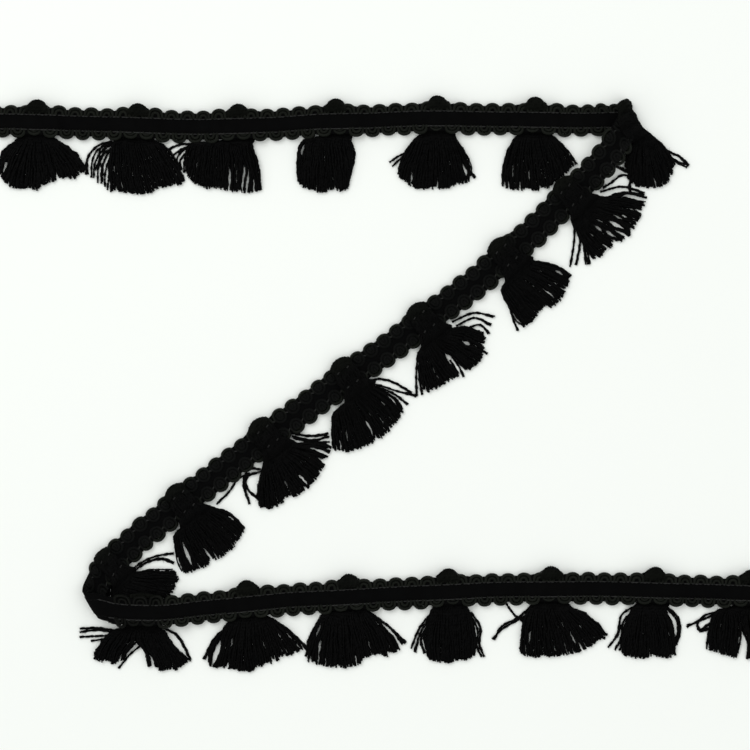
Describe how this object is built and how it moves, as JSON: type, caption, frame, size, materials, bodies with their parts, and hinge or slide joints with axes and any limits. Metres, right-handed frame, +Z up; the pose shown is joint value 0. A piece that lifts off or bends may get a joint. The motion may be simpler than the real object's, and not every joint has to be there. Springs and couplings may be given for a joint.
{
  "type": "tassel fringe trim",
  "caption": "Black cotton tassel fringe: a scalloped gimp braid heading, folded over twice into a flat zigzag, with short yarn tassels spread along one edge.",
  "frame": {"origin": "centre of the bounding box in plan, on the surface that the trim lies on", "axes": "+Z up from the surface, +X along the upper and lower runs towards the cut end of the lower run, +Y from the lower run towards the upper run"},
  "size_m": [0.2714, 0.192, 0.0074],
  "materials": {
    "heading_gimp": "matt black cotton gimp braid",
    "tassel_yarn": "matt black twisted cotton yarn"
  },
  "bodies": {
    "root": {"heading": "heading_gimp", "tassel_01": "tassel_yarn", "tassel_02": "tassel_yarn", "tassel_03": "tassel_yarn", "tassel_04": "tassel_yarn", "tassel_05": "tassel_yarn", "tassel_06": "tassel_yarn", "tassel_07": "tassel_yarn", "tassel_08": "tassel_yarn", "tassel_09": "tassel_yarn", "tassel_10": "tassel_yarn", "tassel_11": "tassel_yarn", "tassel_12": "tassel_yarn", "tassel_13": "tassel_yarn", "tassel_14": "tassel_yarn", "tassel_15": "tassel_yarn", "tassel_16": "tassel_yarn", "tassel_17": "tassel_yarn", "tassel_18": "tassel_yarn", "tassel_19": "tassel_yarn", "tassel_20": "tassel_yarn", "tassel_21": "tassel_yarn"}
  },
  "joints": []
}
